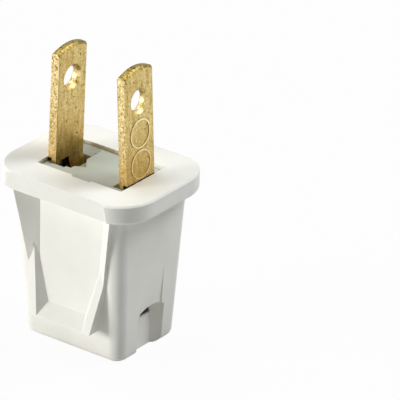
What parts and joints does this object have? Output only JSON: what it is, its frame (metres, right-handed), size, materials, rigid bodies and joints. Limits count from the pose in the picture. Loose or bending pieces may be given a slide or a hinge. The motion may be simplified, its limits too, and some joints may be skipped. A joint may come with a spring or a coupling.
{
  "type": "ungrounded plug",
  "caption": "Ungrounded plug with flat brass blades in a grey pull-out core, seated in a white flanged casing with a finger scoop on each broad side.",
  "frame": {"origin": "middle of the casing's rear face, where the plug stands", "axes": "+X from the left blade to the right blade, +Y across the scoops to the back, +Z out along the blades"},
  "size_m": [0.0256, 0.0202, 0.044],
  "materials": {
    "casing_plastic": "fine satin moulding",
    "core_plastic": "fine satin moulding",
    "blade_brass": "rolled strip with sheared edges"
  },
  "bodies": {
    "casing": {"casing": "casing_plastic"},
    "core": {"core": "core_plastic"},
    "left_blade": {"left_blade": "blade_brass"},
    "right_blade": {"right_blade": "blade_brass"}
  },
  "joints": [
    {"name": "core_slide", "type": "slide", "parent": "casing", "child": "core", "axis": [0, 0, 1], "range_m": [0, 0.018]},
    {"name": "left_blade_pivot", "type": "hinge", "parent": "core", "child": "left_blade", "pos_m": [-0.0056, 0.00028, 0.0096], "axis": [0, -1, 0], "range_deg": [-1.5, 0]},
    {"name": "right_blade_pivot", "type": "hinge", "parent": "core", "child": "right_blade", "pos_m": [0.0056, -0.00028, 0.0096], "axis": [0, 1, 0], "range_deg": [-1.5, 0]}
  ]
}
